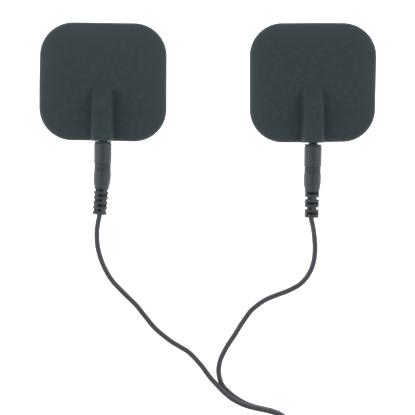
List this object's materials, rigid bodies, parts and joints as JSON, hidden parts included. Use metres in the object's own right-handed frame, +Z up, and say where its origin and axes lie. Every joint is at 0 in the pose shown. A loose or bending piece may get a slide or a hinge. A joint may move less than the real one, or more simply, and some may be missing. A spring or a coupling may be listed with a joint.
{
  "type": "tens electrode set",
  "caption": "Flat rounded conductive-rubber electrodes with socket bosses, on pin plugs whose single leads join into a flat twin lead that ends in a mono jack plug.",
  "frame": {"origin": "on the surface that the set lies on, under the centre of the box round the two electrodes and their pin plugs", "axes": "+X from the left electrode to the right one, +Y the way the pins point into the electrodes, +Z up from the surface"},
  "size_m": [0.128, 0.2023, 0.009],
  "materials": {
    "carbon_rubber": "fine matt moulded carbon-loaded rubber",
    "moulded_pvc": "satin moulded PVC",
    "soft_pvc": "satin soft PVC",
    "lead_pvc": "satin extruded PVC",
    "black_plastic": "black insulator",
    "tie_plastic": "black strap",
    "plated_brass": "bright nickel plate on brass",
    "copper": "bare stranded copper"
  },
  "bodies": {
    "lead_set": {"left_contact_pin": "plated_brass", "left_plug_body": "moulded_pvc", "left_strain_relief": "soft_pvc", "left_wire_core": "copper", "left_lead": "lead_pvc", "right_contact_pin": "plated_brass", "right_plug_body": "moulded_pvc", "right_strain_relief": "soft_pvc", "right_wire_core": "copper", "right_lead": "lead_pvc", "twin_lead": "lead_pvc", "lead_coil": "lead_pvc", "coil_tie": "tie_plastic", "lead_tail": "lead_pvc", "jack_strain_relief": "soft_pvc", "jack_handle": "moulded_pvc", "jack_sleeve": "plated_brass", "jack_insulator": "black_plastic", "jack_tip": "plated_brass", "jack_tip_core": "copper", "jack_sleeve_core": "copper"},
    "left_collar": {"left_pin_collar": "black_plastic"},
    "left_pad": {"left_electrode": "carbon_rubber"},
    "right_collar": {"right_pin_collar": "black_plastic"},
    "right_pad": {"right_electrode": "carbon_rubber"}
  },
  "joints": [
    {"name": "left_swivel", "type": "hinge", "parent": "lead_set", "child": "left_collar", "pos_m": [-0.03974, -0.00797, 0.0036], "axis": [0.0087, 1, 0], "continuous": true},
    {"name": "left_pull_off", "type": "slide", "parent": "left_collar", "child": "left_pad", "axis": [0.0087, 1, 0], "range_m": [0, 0.013]},
    {"name": "right_swivel", "type": "hinge", "parent": "lead_set", "child": "right_collar", "pos_m": [0.0398, -0.00912, 0.0036], "axis": [0.023, 0.9997, 0], "continuous": true},
    {"name": "right_pull_off", "type": "slide", "parent": "right_collar", "child": "right_pad", "axis": [0.023, 0.9997, 0], "range_m": [-0.0005, 0.0125]}
  ]
}
